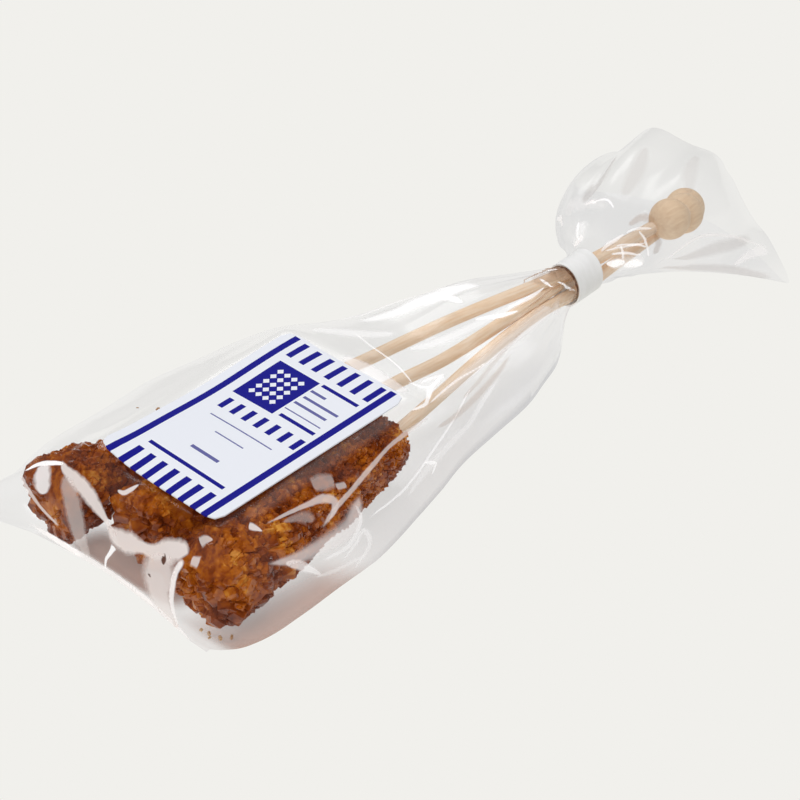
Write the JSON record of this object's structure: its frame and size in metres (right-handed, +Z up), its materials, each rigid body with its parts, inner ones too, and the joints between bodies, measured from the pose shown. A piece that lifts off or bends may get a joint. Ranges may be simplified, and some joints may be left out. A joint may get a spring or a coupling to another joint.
{
  "type": "rock candy stick pack",
  "caption": "Brown rock candy on wooden sticks with bead ends, sealed in a clear film bag that is tied at the neck with a white band and labelled on top.",
  "frame": {"origin": "under the middle of the pack's bounding box, on the surface it lies on", "axes": "+X along the pack from the bottom seam to the open mouth, +Y across it, +Z up"},
  "size_m": [0.183, 0.072, 0.0221],
  "materials": {
    "film": "clear glossy plastic film",
    "tape": "satin",
    "label_paper": "coated paper",
    "stick_wood": "raw turned wood",
    "bead_wood": "raw turned wood",
    "candy": "clear brown sugar crystals"
  },
  "bodies": {
    "root": {"bag": "film", "tie_band": "tape", "label": "label_paper", "stick_1": "stick_wood", "stick_2": "stick_wood", "stick_3": "stick_wood", "bead_1": "bead_wood", "bead_2": "bead_wood", "bead_3": "bead_wood"}
  },
  "joints": []
}
